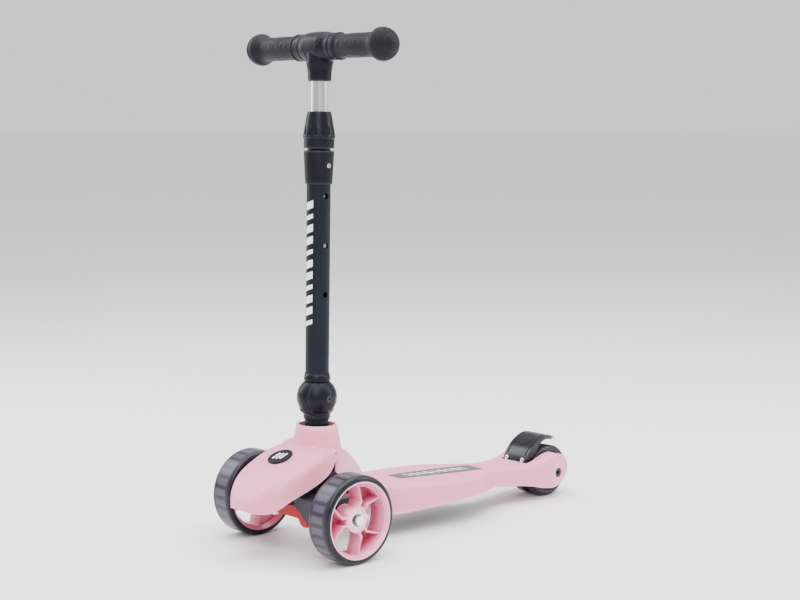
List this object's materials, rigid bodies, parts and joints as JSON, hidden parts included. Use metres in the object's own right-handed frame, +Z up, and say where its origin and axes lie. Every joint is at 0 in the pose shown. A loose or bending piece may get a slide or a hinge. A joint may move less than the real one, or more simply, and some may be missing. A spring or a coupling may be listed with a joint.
{
  "type": "kick scooter",
  "caption": "Small child's lean-to-steer kick scooter with a moulded deck, foot brake, folding stem and height-adjustable T-bar.",
  "frame": {"origin": "on the floor under the middle of the overall width and length", "axes": "+X towards the rider's left, +Y towards the back, +Z up"},
  "size_m": [0.2976, 0.625, 0.7052],
  "materials": {
    "pink_plastic": "satin moulded polypropylene, pale pink",
    "rim_plastic": "glossy moulded nylon, pink",
    "black_plastic": "satin moulded nylon, black",
    "black_paint": "satin powder coat, blue-black",
    "grip_rubber": "moulded rubber, black",
    "silver_tube": "brushed and clear-anodised aluminium",
    "steel": "zinc-plated steel",
    "dark_steel": "black-oxide steel",
    "red_plastic": "satin moulded nylon, red",
    "smoke_tyre": "translucent smoke-grey polyurethane",
    "panel_grey": "soft-touch grey film",
    "white_print": "raised white print",
    "elastomer": "polyurethane rubber",
    "bush_plastic": "natural acetal"
  },
  "bodies": {
    "chassis": {"deck_shell": "pink_plastic", "deck_base_plate": "black_plastic", "deck_panel": "panel_grey", "base_plate_screws": "dark_steel", "head_cover": "pink_plastic", "cover_badge": "black_plastic", "badge_bars": "white_print", "head_bracket": "black_paint", "bracket_screws": "dark_steel", "lower_stem_tube": "black_paint", "cross_bolt": "dark_steel", "cross_bolt_caps": "black_plastic", "kingpin_bolt": "steel", "kingpin_nut": "steel", "fold_clevis": "black_plastic", "fold_pin": "dark_steel", "rear_axle_bolt": "dark_steel", "rear_axle_nut": "dark_steel", "rear_axle_spacers": "steel", "brake_hinge_pin": "steel", "brake_return_spring": "steel"},
    "truck": {"truck_beam": "black_plastic", "truck_lower_plate": "red_plastic", "lower_plate_screws": "steel", "kingpin_bushes": "bush_plastic", "lean_buffers": "elastomer", "front_axle_bolts": "steel", "front_axle_spacers": "steel"},
    "front_wheel_left": {"front_tyre_left": "smoke_tyre", "front_rim_left": "rim_plastic", "front_bearings_left": "steel", "bearing_spacer_left": "steel"},
    "front_wheel_right": {"front_tyre_right": "smoke_tyre", "front_rim_right": "rim_plastic", "front_bearings_right": "steel", "bearing_spacer_right": "steel"},
    "rear_wheel_left": {"rear_tyre_left": "smoke_tyre", "rear_hub_left": "black_plastic", "rear_bearings_left": "steel"},
    "rear_wheel_right": {"rear_tyre_right": "smoke_tyre", "rear_hub_right": "black_plastic", "rear_bearings_right": "steel"},
    "brake": {"brake_fender": "black_plastic", "brake_hinge_plate": "steel", "brake_screws": "steel", "brake_pad": "steel"},
    "stem": {"fold_tongue": "black_plastic", "outer_tube": "black_paint", "clamp_collar": "black_plastic", "collar_screw": "steel", "clamp_collet": "black_plastic"},
    "height_clamp": {"clamp_knob": "black_plastic"},
    "bar": {"inner_tube": "silver_tube", "t_joint": "black_plastic", "crossbar": "dark_steel", "grip_left": "grip_rubber", "grip_right": "grip_rubber", "button_spring": "dark_steel"},
    "height_button": {"snap_button": "steel"}
  },
  "joints": [
    {"name": "lean_steer", "type": "hinge", "parent": "chassis", "child": "truck", "pos_m": [0, -0.2214, 0.072], "axis": [0, -0.7071, 0.7071], "range_deg": [-10, 10], "stiffness_Nm_per_rad": 45},
    {"name": "front_left_spin", "type": "hinge", "parent": "truck", "child": "front_wheel_left", "pos_m": [0.1057, -0.2074, 0.06], "axis": [1, 0, 0], "continuous": true},
    {"name": "front_right_spin", "type": "hinge", "parent": "truck", "child": "front_wheel_right", "pos_m": [-0.1057, -0.2074, 0.06], "axis": [1, 0, 0], "continuous": true},
    {"name": "rear_left_spin", "type": "hinge", "parent": "chassis", "child": "rear_wheel_left", "pos_m": [0.0136, 0.2726, 0.04], "axis": [1, 0, 0], "continuous": true},
    {"name": "rear_right_spin", "type": "hinge", "parent": "chassis", "child": "rear_wheel_right", "pos_m": [-0.0136, 0.2726, 0.04], "axis": [1, 0, 0], "continuous": true},
    {"name": "brake_press", "type": "hinge", "parent": "chassis", "child": "brake", "pos_m": [0, 0.2236, 0.05], "axis": [1, 0, 0], "range_deg": [-5, 0], "stiffness_Nm_per_rad": 4, "springref_deg": 5.73},
    {"name": "stem_fold", "type": "hinge", "parent": "chassis", "child": "stem", "pos_m": [0, -0.17835, 0.20648], "axis": [-1, 0, 0], "range_deg": [0, 95]},
    {"name": "clamp_twist", "type": "hinge", "parent": "stem", "child": "height_clamp", "pos_m": [0, -0.17289, 0.56994], "axis": [0, 0.015, 0.9999], "range_deg": [0, 180]},
    {"name": "height_slide", "type": "slide", "parent": "stem", "child": "bar", "axis": [0, 0.015, 0.9999], "range_m": [-0.04, 0.067]},
    {"name": "height_button_press", "type": "slide", "parent": "bar", "child": "height_button", "axis": [1, 0, 0], "range_m": [-0.0023, 0], "stiffness_N_per_m": 900}
  ]
}
